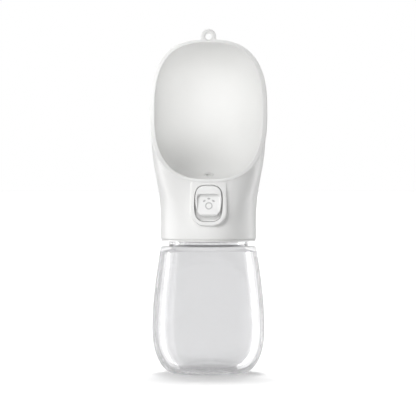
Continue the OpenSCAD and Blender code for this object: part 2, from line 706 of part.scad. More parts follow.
module key() {
    top = key_z + key_h / 2;
    low = key_z - key_h / 2;
    step_z = top - ledge_h - 2;
    // Side outline [y, z] of the key's face, from the top down
    face = concat(
        [[rim_y + 0.9, top], [rim_y - ledge_out * 0.55, top - 1.1], [rim_y - ledge_out, top - 2.6],
         [rim_y - ledge_out, top - ledge_h], [rim_y - ledge_out + 0.7, step_z + 1]],
        [for (k = [0 : scoop_steps]) let (t = k / scoop_steps)
            [rim_y + scoop_in - (scoop_in + 0.5) * smooth(t * 0.5 + 0.5 * t * t),
             mix(step_z, low + bevel_h, t)]],
        [[rim_y + bevel_in, low]]);
    slot_top = valve_z + rail_l / 2 + lock_travel + end_gap;
    color("white") difference() {
        intersection() {
            window_block(key_w, key_h, key_round, rim_y - 4, key_back, key_z);
            rotate([90, 0, 90]) translate([0, 0, -key_w])
                linear_extrude(2 * key_w) polygon(concat(face, [[key_back, low], [key_back, top]]));
        }
        // Slot of T section, open below, that the rail goes into; its upper end leaves room for the slide
        translate([-rail_neck_w / 2 - slide_gap, key_back - rail_neck_t, low - past])
            cube([rail_neck_w + 2 * slide_gap, rail_neck_t + past, slot_top - low + past]);
        translate([-rail_w / 2 - slide_gap, carrier_y - rail_neck_t - rail_head_t - slide_gap, low - past])
            cube([rail_w + 2 * slide_gap, rail_head_t + 2 * slide_gap, slot_top - low + past]);
    }
}

bottle();
neck_gasket();
screw_insert();
insert_o_ring();
vent_valve();
head_shell();
valve_body();
valve_screws();
inlet_seal();
outlet_nozzle();
valve_cap();
cap_o_ring();
return_spring();
plunger();
plunger_o_ring();
poppet_seal();
spring_washer();
key_carrier();
carrier_screw();
key();
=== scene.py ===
# %% [markdown]
# # A travel water bottle with a drinking bowl
# The object is a clear moulded bottle with a white head screwed onto it. The head is one moulding: a round
# neck, a drinking bowl that leans back, a raised bezel round the key, and a loop to hang it by. The packed
# model comes in first, as a fixed frame. It is in metres, stands on the floor, and its bowl faces -Y.

# %% Load the fixed frame
import json
import math

import bmesh
import bpy
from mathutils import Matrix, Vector

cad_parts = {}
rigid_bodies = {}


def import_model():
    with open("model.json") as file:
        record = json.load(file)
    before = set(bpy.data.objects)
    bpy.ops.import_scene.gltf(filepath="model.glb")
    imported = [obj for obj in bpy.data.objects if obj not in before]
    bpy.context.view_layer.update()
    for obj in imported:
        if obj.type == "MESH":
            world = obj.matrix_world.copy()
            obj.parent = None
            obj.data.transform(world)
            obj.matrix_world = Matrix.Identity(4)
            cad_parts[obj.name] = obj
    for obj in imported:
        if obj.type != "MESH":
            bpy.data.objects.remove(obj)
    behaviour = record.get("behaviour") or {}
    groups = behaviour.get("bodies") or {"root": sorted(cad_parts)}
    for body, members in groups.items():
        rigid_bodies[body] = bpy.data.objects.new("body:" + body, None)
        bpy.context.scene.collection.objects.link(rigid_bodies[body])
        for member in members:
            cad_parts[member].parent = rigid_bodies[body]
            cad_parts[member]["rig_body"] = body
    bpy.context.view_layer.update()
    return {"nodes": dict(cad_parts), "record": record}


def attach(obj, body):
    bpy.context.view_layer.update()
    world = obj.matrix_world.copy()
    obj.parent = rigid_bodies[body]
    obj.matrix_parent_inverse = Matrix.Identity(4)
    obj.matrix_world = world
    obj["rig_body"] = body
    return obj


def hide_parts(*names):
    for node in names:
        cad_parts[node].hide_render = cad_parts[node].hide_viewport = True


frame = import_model()

# %% [markdown]
# ## Camera
# The picture is a plain product shot: a long lens, straight from the front, a little above the middle of the
# object. A long lens far away keeps the sides of the bottle almost parallel. The picture is square, so the
# lens follows from the width that it has to show and the distance.

# %% Camera in front of the bowl
MM = 0.001
sensor_mm = 36
view_width = 272.7 * MM
view_distance = 1.633
look_at = Vector((-0.3 * MM, 0, 108.3 * MM))
camera_height = 128 * MM

lens_data = bpy.data.cameras.new("front_lens")
lens_data.sensor_width = sensor_mm
lens_data.lens = sensor_mm * view_distance / view_width
lens_data.clip_end = 30
camera = bpy.data.objects.new("front_camera", lens_data)
camera.location = (look_at.x, -view_distance, camera_height)
camera.rotation_euler = (look_at - camera.location).to_track_quat("-Z", "Y").to_euler()
bpy.context.scene.collection.objects.link(camera)
bpy.context.scene.camera = camera
bpy.context.scene.view_settings.view_transform = "Standard"
print("lens of", round(lens_data.lens), "mm at", view_distance, "m")

# %% [markdown]
# ## Shader helper
# Every finish here is worked out from nodes. Joining nodes by hand takes many lines, so one small class
# wraps a node's output and lets Python's own signs add the Math nodes: `mask * 0.3 + 0.1` makes two of them.
# A second class has one method that makes any other node, and a third is a material with its usual nodes.

# %% Values, nodes and finishes
class Value:
    """The output of a shader node. Sums, differences and products of values add their Math nodes."""

    def __init__(self, nodes, socket):
        self.nodes, self.socket = nodes, socket

    def math(self, operation, first, second):
        return self.nodes.node("ShaderNodeMath", {"operation": operation}, {0: first, 1: second})

    def __add__(self, other):
        return self.math("ADD", self, other)

    def __sub__(self, other):
        return self.math("SUBTRACT", self, other)

    def __rsub__(self, other):
        return self.math("SUBTRACT", other, self)

    def __mul__(self, other):
        return self.math("MULTIPLY", self, other)

    __radd__ = __add__
    __rmul__ = __mul__


class Nodes:
    """The nodes of a material or a world, and the shader that they lead to."""

    def __init__(self, owner, shader):
        owner.use_nodes = True
        self.tree = owner.node_tree
        self.shader = self.tree.nodes[shader]

    def node(self, kind, settings=None, inputs=None, output=0):
        """The Value of a new node. Each input is a number, a colour or the Value of another node."""
        made = self.tree.nodes.new(kind)
        for key, value in (settings or {}).items():
            setattr(made, key, value)
        for key, value in (inputs or {}).items():
            self.put(value, made.inputs[key])
        return Value(self, made.outputs[output])

    def put(self, value, socket):
        """Give a value to a socket, which can be the name of one of the shader's own."""
        if isinstance(socket, str):
            socket = self.shader.inputs[socket]
        if isinstance(value, Value):
            self.tree.links.new(value.socket, socket)
        else:
            socket.default_value = value


class Finish(Nodes):
    """A material with one Principled shader, whose constant sockets are set by name."""

    def __init__(self, name, **constants):
        self.material = bpy.data.materials.new(name)
        super().__init__(self.material, "Principled BSDF")
        for socket, value in constants.items():
            self.put(value, socket.replace("_", " "))

    def mix_in(self, other, share):
        """Show another shader, and the Principled one over it by share."""
        principled = Value(self, self.shader.outputs[0])
        mixed = self.node("ShaderNodeMixShader", {}, {0: share, 1: other, 2: principled})
        self.put(mixed, self.tree.nodes["Material Output"].inputs["Surface"])

    def place(self):
        return self.node("ShaderNodeTexCoord", output="Object")

    def noise(self, size_mm, detail=2, place=None):
        """Noise from 0 to 1 whose blots are about size_mm wide."""
        inputs = {"Vector": place or self.place(), "Scale": 1000 / size_mm, "Detail": detail}
        return self.node("ShaderNodeTexNoise", {}, inputs)

    def blend(self, share, first, second):
        """A colour between two colours. Each is three numbers."""
        inputs = {0: share, 6: (*first, 1), 7: (*second, 1)}
        return self.node("ShaderNodeMix", {"data_type": "RGBA"}, inputs, output=2)

    def bump(self, height, depth_mm):
        """A bump whose height runs from 0 to 1 over depth_mm."""
        inputs = {"Height": height, "Distance": depth_mm * MM, "Strength": 1.0}
        self.put(self.node("ShaderNodeBump", {}, inputs), "Normal")


# %% [markdown]
# ## Plastics, rubber and steel
# The head is moulded in a satin white plastic, and the key in a glossier one. Even a polished mould leaves a
# very slight waviness, which is what makes a real reflection swim a little, and the colour drifts by a hair
# where the melt cooled at another speed. So each finish takes a slow noise for its colour, a finer one for
# its gloss and the finest for its bump.

# %% Moulded plastics
cloud_mm, smear_mm = 38, 9


def moulded(name, colour, drift, gloss, grain_mm, depth_mm, **constants):
    """Plastic whose colour drifts towards drift and whose roughness runs between the two of gloss."""
    finish = Finish(name, **constants)
    cloud = finish.noise(cloud_mm)
    finish.put(finish.blend(cloud, colour, drift), "Base Color")
    smear = finish.noise(smear_mm, detail=3)
    finish.put(smear * (gloss[1] - gloss[0]) + gloss[0], "Roughness")
    finish.bump(finish.noise(grain_mm, detail=3), depth_mm)
    return finish


white_finish = moulded(
    "white_gloss_plastic", (0.87, 0.87, 0.86), (0.85, 0.85, 0.84), (0.32, 0.4), 2.4, 0.008,
    IOR=1.45, Coat_Weight=0.05, Coat_Roughness=0.2)
key_finish = moulded(
    "white_key_plastic", (0.87, 0.87, 0.865), (0.85, 0.85, 0.845), (0.18, 0.28), 1.6, 0.006,
    IOR=1.5, Coat_Weight=0.2, Coat_Roughness=0.1)
# The paw's grey is painted shade: it stands in for the shade that its low relief would show.
paw_painted_shade_finish = moulded(
    "paw_painted_shade", (0.52, 0.52, 0.52), (0.48, 0.48, 0.48), (0.3, 0.4), 0.6, 0.004, IOR=1.5)
inner_finish = moulded(
    "natural_satin_plastic", (0.70, 0.70, 0.68), (0.66, 0.66, 0.64), (0.34, 0.46), 0.9, 0.01, IOR=1.5)
silicone_finish = moulded(
    "milky_silicone", (0.80, 0.80, 0.79), (0.77, 0.77, 0.76), (0.42, 0.55), 0.7, 0.012, IOR=1.41)
rubber_finish = moulded(
    "black_seal_rubber", (0.035, 0.035, 0.036), (0.05, 0.05, 0.05), (0.5, 0.65), 0.5, 0.015, IOR=1.5)
print("plastics:", white_finish.material.name, key_finish.material.name, inner_finish.material.name)

# %% [markdown]
# The bottle is clear plastic that light goes through twice on each side. It is almost colourless, but every
# pass takes a little light, so the middle of an empty bottle looks light grey in front of a white wall. The
# gloss is broken by faint flow marks that run up the wall, which come from noise stretched along the height.
# The picture shows a dark line and a band at the root of the neck, and both are painted shade: the line is
# painted shadow under the flange of the head, and the band is painted dark where the thick corner of the
# wall would show the dark underside of the head. One mask paints them into the front half of the wall only,
# because the far half would show them a second time. From the side the end of this painted shade can be
# seen. Another mask lets the view go nearly straight through just under the shoulder and in the middle of
# the base, where bending it would fill the picture with lines.

# %% Clear bottle plastic and steel
# Painted shade at the neck's root: heights of a dark band and a shadow line under the flange, in mm.
root_shade_band, flange_shadow_line, flange_shadow_line_share = (83.2, 84.7), (86.2, 86.8), 0.9
painted_shade_radii, painted_shade_front = (20, 26.4), (-60, -0.5)
eased_shoulder, eased_base, eased_base_radii = (79.8, 83.0), (0.8, 16), (-17, 17)


def painted_shade_and_eased_masks(finish):
    """Two masks: painted shade at the root of the neck, and the places that bend the view least."""
    height, depth = (finish.node("ShaderNodeSeparateXYZ", {}, {0: finish.place()}, output=axis)
                     for axis in ("Z", "Y"))
    level = {0: finish.place(), 1: (1, 1, 0)}
    beside = finish.node("ShaderNodeVectorMath", {"operation": "MULTIPLY"}, level)
    radius = finish.node("ShaderNodeVectorMath", {"operation": "LENGTH"}, {0: beside}, output="Value")

    def between(value, limits, soft=0.15):
        """1 where value lies between the two limits in mm, 0 elsewhere, with an edge of twice soft."""
        low, high = limits
        away = finish.node("ShaderNodeMath", {"operation": "ABSOLUTE"}, {0: value - (low + high) / 2 * MM})
        half = (high - low) / 2 * MM
        return finish.node("ShaderNodeMapRange", {},
                           {"Value": away, "From Min": half + soft * MM, "From Max": half - soft * MM})

    # Painted shade by height: the dark band and, a little lighter, the shadow line under the flange.
    dark = between(height, root_shade_band) + between(height, flange_shadow_line) * flange_shadow_line_share
    root = dark * between(radius, painted_shade_radii) * between(depth, painted_shade_front)
    base = between(height, eased_base, 0.8) * between(radius, eased_base_radii, 2)
    return root, between(height, eased_shoulder, 0.8) + base


def clear_plastic():
    finish = Finish("clear_bottle_plastic", IOR=1.2, Transmission_Weight=1.0, Coat_Weight=1.0,
                    Coat_Roughness=0.02, Coat_IOR=1.5)
    stretched = finish.node("ShaderNodeMapping", {}, {"Vector": finish.place(), "Scale": (1, 1, 0.25)})
    flow = finish.noise(16, place=stretched)
    root, eased = painted_shade_and_eased_masks(finish)
    tint = finish.blend(flow, (0.76, 0.76, 0.765), (0.78, 0.78, 0.785))
    # The colour of the painted shade at the root of the neck.
    dark = (0.22, 0.22, 0.225, 1)
    colour = finish.node("ShaderNodeMix", {"data_type": "RGBA"}, {0: root, 6: tint, 7: dark}, output=2)
    finish.put(colour, "Base Color")
    finish.put(finish.noise(6) * 0.015, "Roughness")
    finish.bump(flow, 0.02)
    straight = finish.node("ShaderNodeBsdfTransparent", {}, {"Color": (0.885, 0.885, 0.888, 1)})
    facing = finish.node("ShaderNodeLayerWeight", {}, {"Blend": 0.5}, output="Facing")
    curve = finish.node("ShaderNodeMath", {"operation": "POWER"}, {0: facing, 1: 1.4})
    bent = curve * 0.75 + 0.25 - eased * 0.6
    # Where the painted shade lies, the view does not go straight through, so it shows dark.
    finish.mix_in(straight, finish.node("ShaderNodeMath", {"operation": "MAXIMUM"}, {0: bent, 1: root}))
    return finish


def drawn_steel():
    finish = Finish("drawn_spring_steel", Metallic=1.0)
    streaked = finish.node("ShaderNodeMapping", {}, {"Vector": finish.place(), "Scale": (1, 1, 6)})
    lines = finish.noise(1.2, detail=4, place=streaked)
    finish.put(finish.blend(lines, (0.58, 0.58, 0.59), (0.68, 0.68, 0.69)), "Base Color")
    finish.put(lines * 0.15 + 0.22, "Roughness")
    finish.bump(lines, 0.004)
    return finish


clear_finish, steel_finish = clear_plastic(), drawn_steel()
slots = {
    "white_plastic": white_finish, "natural_plastic": inner_finish, "silicone": silicone_finish,
    "black_rubber": rubber_finish, "steel": steel_finish, "clear_plastic": clear_finish,
}
print("finishes for", len(slots), "material slots")

# %% [markdown]
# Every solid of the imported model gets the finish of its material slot, also those inside the head, because
# they come into view when the head is unscrewed or the model is taken apart.

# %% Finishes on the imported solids
for part in frame["record"]["subparts"]:
    solid = frame["nodes"][part["node"]]
    solid.data.materials.clear()
    solid.data.materials.append(slots[part["material_slot"]].material)
print(len(frame["nodes"]), "packed solids have a finish")

# %% [markdown]
# ## How the new pieces are made
# Most of the pieces are lofts: a ring of points that is extruded again and again, and moved at each step to
# the next outline. An int layer numbers the columns of the ring, and an extrusion copies it, so each new
# point knows its place in the next ring. All sizes are written in millimetres, as a maker would, and the
# mesh is brought to metres at the end.

# %% Lofting rings
def loft(rings, mesh=None):
    """A closed skin through rings that have as many points, wound anticlockwise seen from the last one."""
    mesh = mesh or bmesh.new()
    column = mesh.verts.layers.int.get("column") or mesh.verts.layers.int.new("column")
    ring = bmesh.ops.create_circle(mesh, segments=len(rings[0]), radius=1)["verts"]
    for number, point in enumerate(ring):
        point[column] = number
    edges = list({edge for point in ring for edge in point.link_edges})
    first = edges
    for index, outline in enumerate(rings):
        if index:
            made = bmesh.ops.extrude_edge_only(mesh, edges=edges)["geom"]
            ring = [part for part in made if isinstance(part, bmesh.types.BMVert)]
            fresh = set(ring)
            edges = [part for part in made
                     if isinstance(part, bmesh.types.BMEdge) and fresh.issuperset(part.verts)]
        for point in ring:
            point.co = outline[point[column]]
    for rim in (first, edges):
        cap = bmesh.ops.contextual_create(mesh, geom=rim)["faces"]
        bmesh.ops.poke(mesh, faces=cap)
    bmesh.ops.recalc_face_normals(mesh, faces=mesh.faces)
    return mesh


def to_piece(name, mesh, finish, sharp=34):
    """An object at the origin from a mesh in millimetres, shaded smooth but for its sharp edges."""
    bmesh.ops.scale(mesh, vec=(MM, MM, MM), verts=mesh.verts)
    data = bpy.data.meshes.new(name)
    mesh.to_mesh(data)
    mesh.free()
    data.shade_smooth()
    data.set_sharp_from_angle(angle=math.radians(sharp))
    data.materials.append(finish.material)
    piece = bpy.data.objects.new(name, data)
    bpy.context.scene.collection.objects.link(piece)
    return piece


# %% [markdown]
# Where a moulding has a window or a boss, two closed skins are joined or cut with a Boolean modifier. Its
# result is baked into a plain mesh straight away, so that nothing live depends on a helper object.

# %% Joining and cutting
def combine(mesh, operation, *others):
    """mesh after UNION, DIFFERENCE or INTERSECT with each of the others, all in millimetres."""
    for other in others:
        pair = []
        for part in (mesh, other):
            data = bpy.data.meshes.new("blank")
            part.to_mesh(data)
            part.free()
            pair.append(bpy.data.objects.new("blank", data))
            bpy.context.scene.collection.objects.link(pair[-1])
        tool = pair[0].modifiers.new("cut", "BOOLEAN")
        tool.operation, tool.solver, tool.object = operation, "MANIFOLD", pair[1]
        result = pair[0].evaluated_get(bpy.context.evaluated_depsgraph_get())
        mesh = bmesh.new()
        mesh.from_mesh(result.data)
        for used in pair:
            data = used.data
            bpy.data.objects.remove(used)
            bpy.data.meshes.remove(data)
    return mesh


def smooth_step(value):
    value = min(1.0, max(0.0, value))
    return value * value * (3 - 2 * value)


def mix(start, end, share):
    return start + (end - start) * share


def rounded_rect(width, height, radius, steps=14):
    """Points of a rounded rectangle in the plane of x and z, anticlockwise seen from +Y."""
    points = []
    for turn, (side, up) in enumerate(((-1, 1), (-1, -1), (1, -1), (1, 1))):
        for step in range(steps + 1):
            angle = math.radians(90 + 90 * turn + 90 * step / steps)
            points.append((side * (width / 2 - radius) + radius * math.cos(angle),
                           up * (height / 2 - radius) + radius * math.sin(angle)))
    return points


def squircle(angle, power):
    """A point of a superellipse, two wide and two high: a circle at power 2, and squarer above it."""
    cos, sin = math.cos(angle), math.sin(angle)
    return (math.copysign(abs(cos) ** (2 / power), cos), math.copysign(abs(sin) ** (2 / power), sin))


def squarish(width, height, power, steps=72):
    """Points of a superellipse in the plane of x and z, which has no straight sides."""
    turns = [math.pi / 2 + 2 * math.pi * (step + 0.5) / steps for step in range(steps)]
    return [(across * width / 2, up * height / 2) for across, up in (squircle(turn, power) for turn in turns)]


def slab(width, height, centre_z, stations, radius=0, power=0):
    """A block through stations (y, grow) from back to front, with corners of radius or of a power."""
    rings = []
    for y, grow in stations:
        size = (width + 2 * grow, height + 2 * grow)
        outline = squarish(*size, power) if power else rounded_rect(*size, radius + grow)
        rings.append([(x, y, z + centre_z) for x, z in outline])
    return loft(rings)


def turned(points, steps):
    """A body of revolution about Z, from (radius, height) points of a closed outline."""
    mesh = bmesh.new()
    corners = [mesh.verts.new((radius, 0, height)) for radius, height in points]
    for start, end in zip(corners, corners[1:]):
        mesh.edges.new((start, end))
    bmesh.ops.spin(mesh, geom=mesh.verts[:] + mesh.edges[:], cent=(0, 0, 0), axis=(0, 0, 1),
                   angle=2 * math.pi, steps=steps, use_merge=True, use_duplicate=False)
    bmesh.ops.remove_doubles(mesh, verts=mesh.verts, dist=1e-4)
    bmesh.ops.recalc_face_normals(mesh, faces=mesh.faces)
    return mesh


# %% [markdown]
# ## Bottle
# A bottle like this is blow-moulded, so its wall is one even sheet, with a pushed-up middle in the base to
# stand on. Its outline is drawn once from the middle of the base up the outside, over the neck and down the
# inside, and spun round. The corners of the outline are rounded first, because a clear wall shows every edge.

# %% Outline of the bottle
bottle_h, bottle_r, widest_z, side_curve = 83.2, 36.7, 32.0, 1.6
shoulder_r, shoulder_round, foot_r, foot_curve, inner_foot_curve = 31.0, 1.4, 21.5, 2.5, 2.8
push_up, push_r, push_slope, bottle_wall, floor_t = 2.6, 16.5, 3, 1.8, 2.2
neck_r, neck_wall, neck_top = 25.7, 2.0, 95.2
base_corner, neck_corner, root_swell = 1.2, 0.7, (0.6, 0.8)


def side_radius(z):
    """Radius of the bottle's side at height z, above its widest place."""
    return mix(bottle_r, shoulder_r, ((z - widest_z) / (bottle_h - widest_z)) ** side_curve)


def foot_line(low, wall, power, steps=40):
    """The rounding from the foot at height low up to the widest place, moved inwards by wall."""
    turns = [math.radians(90 * (1 - step / steps)) for step in range(steps + 1)]
    return [(foot_r + (bottle_r - wall - foot_r) * math.cos(turn),
             widest_z - (widest_z - low) * math.sin(turn) ** (2 / power)) for turn in turns]


def arc(x, z, radius, start, end, steps=8):
    angles = [math.radians(mix(start, end, step / steps)) for step in range(steps + 1)]
    return [(x + radius * math.cos(angle), z + radius * math.sin(angle)) for angle in angles]


def rounded(points, radius, steps=4):
    """The open line through points, with each inner corner replaced by a small curve."""
    line = [points[0]]
    for before, corner, after in zip(points, points[1:], points[2:]):
        before, at, after = Vector(before), Vector(corner), Vector(after)
        cut = min(radius, (before - at).length * 0.45, (after - at).length * 0.45)
        start, end = at + (before - at).normalized() * cut, at + (after - at).normalized() * cut
        for step in range(steps + 1):
            share = step / steps
            line.append(tuple(start.lerp(at, share).lerp(at.lerp(end, share), share)))
    return line + [points[-1]]


def side_line(low, high, inset, steps=36):
    heights = [mix(low, high, step / steps) for step in range(steps + 1)]
    return [(side_radius(z) - inset, z) for z in heights]


def bottle_outline():
    """Points (radius, height) from the middle of the base round the outside and back along the inside."""
    shoulder, under_top = bottle_h - shoulder_round, bottle_h - bottle_wall
    base = rounded([(0, push_up), (push_r - push_slope, push_up), (push_r, 0), (foot_r, 0)], base_corner)
    mouth_r, (swell_out, swell_down) = neck_r - neck_wall, root_swell
    neck = rounded([(shoulder_r - shoulder_round, bottle_h), (neck_r, bottle_h), (neck_r, neck_top),
                    (mouth_r, neck_top), (mouth_r, bottle_h), (mouth_r + swell_out, under_top),
                    (side_radius(under_top - swell_down) - bottle_wall, under_top - swell_down)], neck_corner)
    inside = side_line(widest_z + 1, under_top - 1.2, bottle_wall)[::-1]
    floor = rounded([(foot_r, floor_t), (push_r, floor_t), (push_r - push_slope, push_up + floor_t),
                     (0, push_up + floor_t)], base_corner)
    return (base + foot_line(0, 0, foot_curve)[1:]
            + side_line(widest_z + 1, shoulder - 1, 0)
            + arc(side_radius(shoulder) - shoulder_round, shoulder, shoulder_round, 0, 90)
            + neck[1:-1] + inside
            + foot_line(floor_t, bottle_wall, inner_foot_curve)[::-1]
            + floor[1:])


outline = bottle_outline()
print("the bottle's outline has", len(outline), "points")

# %% [markdown]
# The neck carries a thread with three starts, so that a turn and a half of the head lifts it 12 mm. One ridge
# is a small ring of points that climbs along a helix and thins out at both ends. It sinks a little into the
# wall that carries it. The collar of the screw insert gets the same ridges turned inwards, half a gap higher.

# %% Thread ridges
thread_lead, thread_starts, thread_from = 8.0, 3, 20
neck_thread_z, collar_thread_z, collar_r = 87.4, 88.9, 27.1
ridge_h, ridge_sweep, ridge_w, ridge_sink = 1.1, 150, 1.1, 0.3


def ridge(mesh, root_r, height, low, start, steps=48):
    """A thread ridge on the radius root_r. A negative height makes it stand inwards."""
    rings = []
    for step in range(steps + 1):
        share = step / steps
        angle = math.radians(start + ridge_sweep * share)
        full = smooth_step(min(share, 1 - share) * 8)
        z = low + thread_lead * ridge_sweep / 360 * share
        half, tall = ridge_w / 2 * (0.4 + 0.6 * full), height * (0.1 + 0.9 * full)
        sink = math.copysign(ridge_sink, -height)
        section = [(sink, half + 0.25), (sink, -half - 0.25), (tall * 0.55, -half), (tall, -half * 0.45),
                   (tall, half * 0.45), (tall * 0.55, half)]
        rings.append([((root_r + out) * math.cos(angle), (root_r + out) * math.sin(angle), z + up)
                      for out, up in section])
    loft(rings, mesh)


def thread(root_r, height, low):
    """All the ridges of a thread, from the height low upwards."""
    mesh = bmesh.new()
    for number in range(thread_starts):
        ridge(mesh, root_r, height, low, 360 / thread_starts * number + thread_from)
    return mesh


bottle_mesh = combine(turned(outline, steps=160), "UNION", thread(neck_r, ridge_h, neck_thread_z))
bottle_piece = to_piece("clear_bottle", bottle_mesh, clear_finish, sharp=50)
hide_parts("bottle")
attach(bottle_piece, "bottle")
print("bottle:", len(bottle_piece.data.polygons), "faces")

# %% [markdown]
# ## Head: the outer skin
# The outer skin starts as a level circle at the skirt and ends as a leaning, squarish rim. Both are flat
# loops, so the skin is lofted through loops that tip over bit by bit. Each loop is stretched between a point
# on the front line and a point on the back line. A lip stands half a millimetre proud round the rim, and its
# edges are rounded, which gives the rim its thin light line in the picture.

# %% Loops of the outer skin
skirt_z, skirt_r, bore_r = 87.9, 31.2, 28.8
rim_z, top_z, rim_mid_z, rim_y = 125.2, 218.1, 171.65, -33.2
rim_slope = math.tan(math.radians(12.3))
head_half_w, lip_step, rim_power = 38.1, 0.5, 2.65
front_rise, lean_from, lean_length, lean_out = 37.3, 20, 17.3, 2.0
back_straight, back_share, back_power, widen_from = 24, 0.2, 2.4, 12
head_points = 144


def rim_plane_y(z):
    """Where the leaning plane of the rim stands at height z."""
    return rim_y + (z - rim_z) * rim_slope


def front_point(t):
    """The front line as (y, z): t runs from 0 at the skirt to 1 at the rim."""
    z = skirt_z + front_rise * t ** 0.9
    return Vector((-skirt_r - lean_out * smooth_step((z - skirt_z - lean_from) / lean_length), z))


def back_point(t):
    """The back line as (y, z): straight up at first, then curved over to the top of the rim."""
    if t < back_share:
        return Vector((skirt_r, skirt_z + back_straight * t / back_share))
    cos, sin = squircle(math.radians(90) * (t - back_share) / (1 - back_share), back_power)
    return Vector((mix(rim_plane_y(top_z), skirt_r, cos), mix(skirt_z + back_straight, top_z, sin)))


def head_loop(t, out, forward=0.0):
    """The loop of the skin at t, grown by out and moved forward, as a ring of points."""
    front, back = front_point(t), back_point(t)
    middle, half = (front + back) / 2, (back - front) / 2
    widen = smooth_step((middle.y - skirt_z - widen_from) / (rim_mid_z - skirt_z - widen_from))
    width = mix(skirt_r, head_half_w, widen) + out - lip_step
    power = 2 + (rim_power - 2) * smooth_step((t - 0.15) / 0.7)
    ring = []
    for number in range(head_points):
        across, along = squircle(2 * math.pi * number / head_points, power)
        along *= (half.length + out - lip_step) / half.length
        ring.append((width * across, middle.x + half.x * along - forward, middle.y + half.y * along))
    return ring


def outer_skin():
    """The whole outside: a small rounding under the skirt, the loops, the step of the lip and its edge."""
    edge, lip_t = 0.8, 0.955
    rings = [[(x * (1 - s), y * (1 - s), z + lift) for x, y, z in head_loop(0, lip_step)]
             for s, lift in ((0.036, 0), (0.022, 0.1), (0.01, 0.3), (0.003, 0.6))]
    for number in range(1, 61):
        t = lip_t * number / 60
        rings.append(head_loop(t, lip_step * (1 - smooth_step((t - 0.5) / 0.3))))
    rings += [head_loop(lip_t + dt, out) for dt, out in
              ((0.002, 0.12), (0.004, 0.36), (0.0065, lip_step - 0.03), (0.009, lip_step), (0.02, lip_step))]
    for number in range(7):
        angle = math.radians(15 * number)
        rings.append(head_loop(1, lip_step - edge + edge * math.cos(angle), edge * math.sin(angle)))
    return loft(rings)


print("rim:", round(top_z - rim_z, 1), "mm high, leaning back", round(rim_plane_y(top_z) - rim_y, 1), "mm")

# %% [markdown]
# ## Head: the bowl
# The bowl is the space that is taken out of the skin. It is a stack of rings too, which shrink on their way
# back while their middle sinks, so the bowl is deepest in its lower half, where the water stands. Its mouth
# flares over the rim in a small arc, so that the rim has a rounded inner edge that is kind to a tongue.

# %% Space of the bowl
bowl_half_w, bowl_half_h, bowl_depth, bowl_tilt = 34.8, 44.35, 41.0, math.radians(9)
bowl_power, bowl_wall = 2.4, 2.4


def bowl_ring(angle, grow=0.0, extra=0.0, forward=0.0):
    """A ring of the bowl, from 0 degrees at its mouth to 90 at its deepest point."""
    turn = math.radians(angle)
    share, sunk = squircle(turn, bowl_power)[0], (bowl_depth + grow) * math.sin(turn)
    ring = []
    for number in range(head_points):
        across, up = squircle(2 * math.pi * number / head_points, rim_power)
        z = rim_mid_z + (bowl_half_h + grow + extra) * share * up
        ring.append(((bowl_half_w + grow + extra) * share * across,
                     rim_plane_y(z) + sunk * math.cos(bowl_tilt) - forward, z - sunk * math.sin(bowl_tilt)))
    return ring


def bowl_space(grow=0.0, steps=44):
    """The space of the bowl, made larger all round by grow."""
    edge = 0.7
    rings = [bowl_ring(0, grow, edge + 0.1, 30), bowl_ring(0, grow, edge + 0.06, 0.95)]
    for angle in (78, 62, 46, 30, 15):
        turn = math.radians(angle)
        rings.append(bowl_ring(0, grow, edge - edge * math.cos(turn), 0.1 + edge * math.sin(turn)))
    rings += [bowl_ring(0.8 + 88.2 * step / steps, grow) for step in range(steps + 1)]
    return loft(rings[::-1])


def floor_height(y, low=0.0, high=80.0):
    """Height of the bowl's floor in its middle plane at distance y, found by halving."""
    for _ in range(30):
        angle = math.radians((low + high) / 2)
        sunk = bowl_depth * math.sin(angle)
        z = rim_mid_z - bowl_half_h * squircle(angle, bowl_power)[0]
        if rim_plane_y(z) + sunk * math.cos(bowl_tilt) < y:
            low = (low + high) / 2
        else:
            high = (low + high) / 2
    return z - sunk * math.sin(bowl_tilt)


outlet_y = -9.0
print("the bowl's floor at the outlet is", round(floor_height(outlet_y), 1), "mm up")

# %% [markdown]
# ## Head: bezel, window, loop and holes
# The bezel is a raised frame round the key. It is a block with a rounded outline and a rounded front edge,
# and its sides spread a little towards the neck. It reaches 6 mm higher than the frame needs, so that its top
# runs into the skin under the rim. The window is cut through it with a slightly rounded edge and a squarish
# outline without straight sides. The neck is hollow for the valve, up to the underside of the bowl.

# %% Bezel, window and loop
valve_z, plate_top, bezel_back = 111.6, 99.6, -27.34
window_w, window_h, window_power = 18.1, 23.6, 3.2
bezel_w, bezel_h, bezel_round, bezel_rise = 23.3, 28.8, 9.3, 6.0
loop_r, loop_hole_r, loop_y, loop_hole_z, loop_t = 5.0, 2.1, -8.745, 220.1, 3.0
hollow_top, bore_slope = valve_z + 36, 1.2


def bezel():
    depth = bezel_back - rim_y
    stations = [(rim_y, -0.75), (rim_y + 0.03, -0.55), (rim_y + 0.2, -0.22), (rim_y + 0.45, -0.05),
                (rim_y + 0.8, 0.06)]
    stations += [(rim_y + mix(1.2, depth, share / 5), mix(0.1, 0.35, share / 5)) for share in range(6)]
    return slab(bezel_w, bezel_h + bezel_rise, valve_z + bezel_rise / 2, stations[::-1], radius=bezel_round)


def window_cut():
    stations = [(rim_y - 5, 1.4), (rim_y - 0.12, 0.44), (rim_y + 0.03, 0.3), (rim_y + 0.14, 0.15),
                (rim_y + 0.36, 0.04), (rim_y + 0.6, 0), (bezel_back + 4, 0)]
    return slab(window_w, window_h, valve_z, stations[::-1], power=window_power)


def neck_hollow():
    """The bore of the neck, from below the skirt up to the underside of the bowl."""
    profile = [(0, skirt_z - 2), (bore_r + 0.5, skirt_z - 2), (bore_r + 0.5, skirt_z - 0.05),
               (bore_r + 0.1, skirt_z + 0.35), (bore_r, skirt_z + 0.8), (bore_r, plate_top),
               (bore_r - bore_slope, hollow_top), (0, hollow_top)]
    return combine(turned(profile, steps=96), "DIFFERENCE", bowl_space(bowl_wall, 24))


def mirrored(stations):
    """The same stations (y, grow) from the middle plane on to the other side."""
    return [(-y, grow) for y, grow in stations[::-1]]


